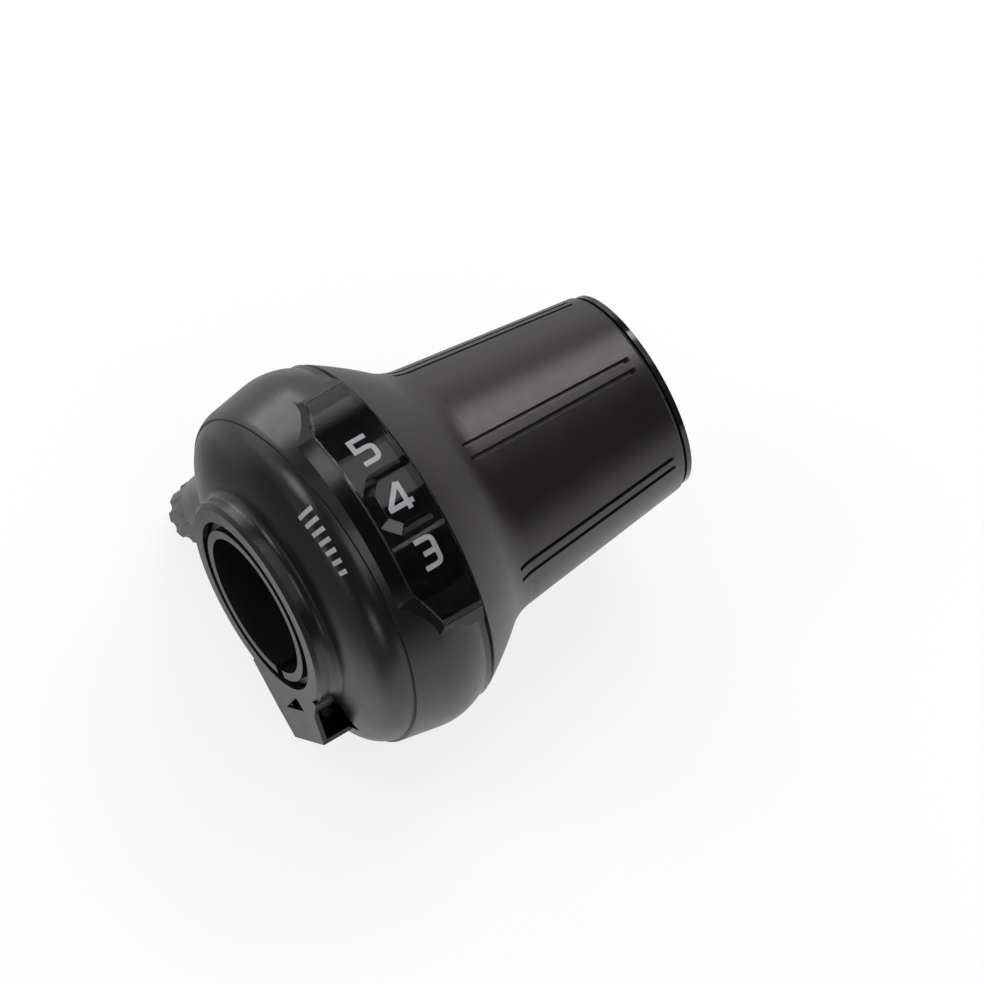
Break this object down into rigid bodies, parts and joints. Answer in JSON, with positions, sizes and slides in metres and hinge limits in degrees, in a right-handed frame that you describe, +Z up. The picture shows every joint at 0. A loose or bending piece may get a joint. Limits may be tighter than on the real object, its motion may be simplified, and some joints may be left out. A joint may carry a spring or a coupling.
{
  "type": "twist grip gear shifter",
  "caption": "Right-hand twist grip gear shifter for a handlebar: round housing with a number window and a tapered, fluted rubber grip that turns about the bar.",
  "frame": {"origin": "on the handlebar axis, in the plane where the turning grip meets the fixed housing", "axes": "+X along the handlebar towards its end (outboard), +Y forward, +Z up"},
  "size_m": [0.0663, 0.065, 0.0579],
  "materials": {
    "housing_plastic": "fine matt texture",
    "sleeve_plastic": "smooth",
    "plated_steel": "plated",
    "dark_steel": "blackened",
    "smoked_lens": "polished",
    "washer_plastic": "smooth",
    "gloss_trim": "polished",
    "plug_rubber": "matt",
    "drum_plastic": "smooth",
    "dial_plastic": "matt, light numbers",
    "grip_rubber": "matt",
    "barrel_plastic": "matt"
  },
  "bodies": {
    "housing": {"main_housing": "housing_plastic", "bearing_sleeve": "sleeve_plastic", "clamp_band": "dark_steel", "clamp_bolt": "dark_steel", "clamp_nut": "dark_steel", "window_lens": "smoked_lens", "detent_spring": "plated_steel", "spring_plate": "plated_steel", "plate_screws": "plated_steel", "inner_washer": "washer_plastic", "outer_washer": "washer_plastic", "snap_ring": "plated_steel", "grip_washer": "gloss_trim", "cable_plug": "plug_rubber", "barrel_spring": "plated_steel"},
    "twist_grip": {"grip_tube": "drum_plastic", "cable_drum": "drum_plastic", "gear_dial": "dial_plastic", "grip_rubber": "grip_rubber"},
    "adjuster": {"barrel_adjuster": "barrel_plastic"}
  },
  "joints": [
    {"name": "twist", "type": "hinge", "parent": "housing", "child": "twist_grip", "pos_m": [0, 0, 0], "axis": [1, 0, 0], "range_deg": [-58.5, 58.5], "deforming": ["detent_spring"]},
    {"name": "barrel_turn", "type": "hinge", "parent": "housing", "child": "adjuster", "pos_m": [-0.0124, 0.03219, -0.02647], "axis": [0, 0.4602, -0.8878], "range_deg": [-360, 360]}
  ]
}
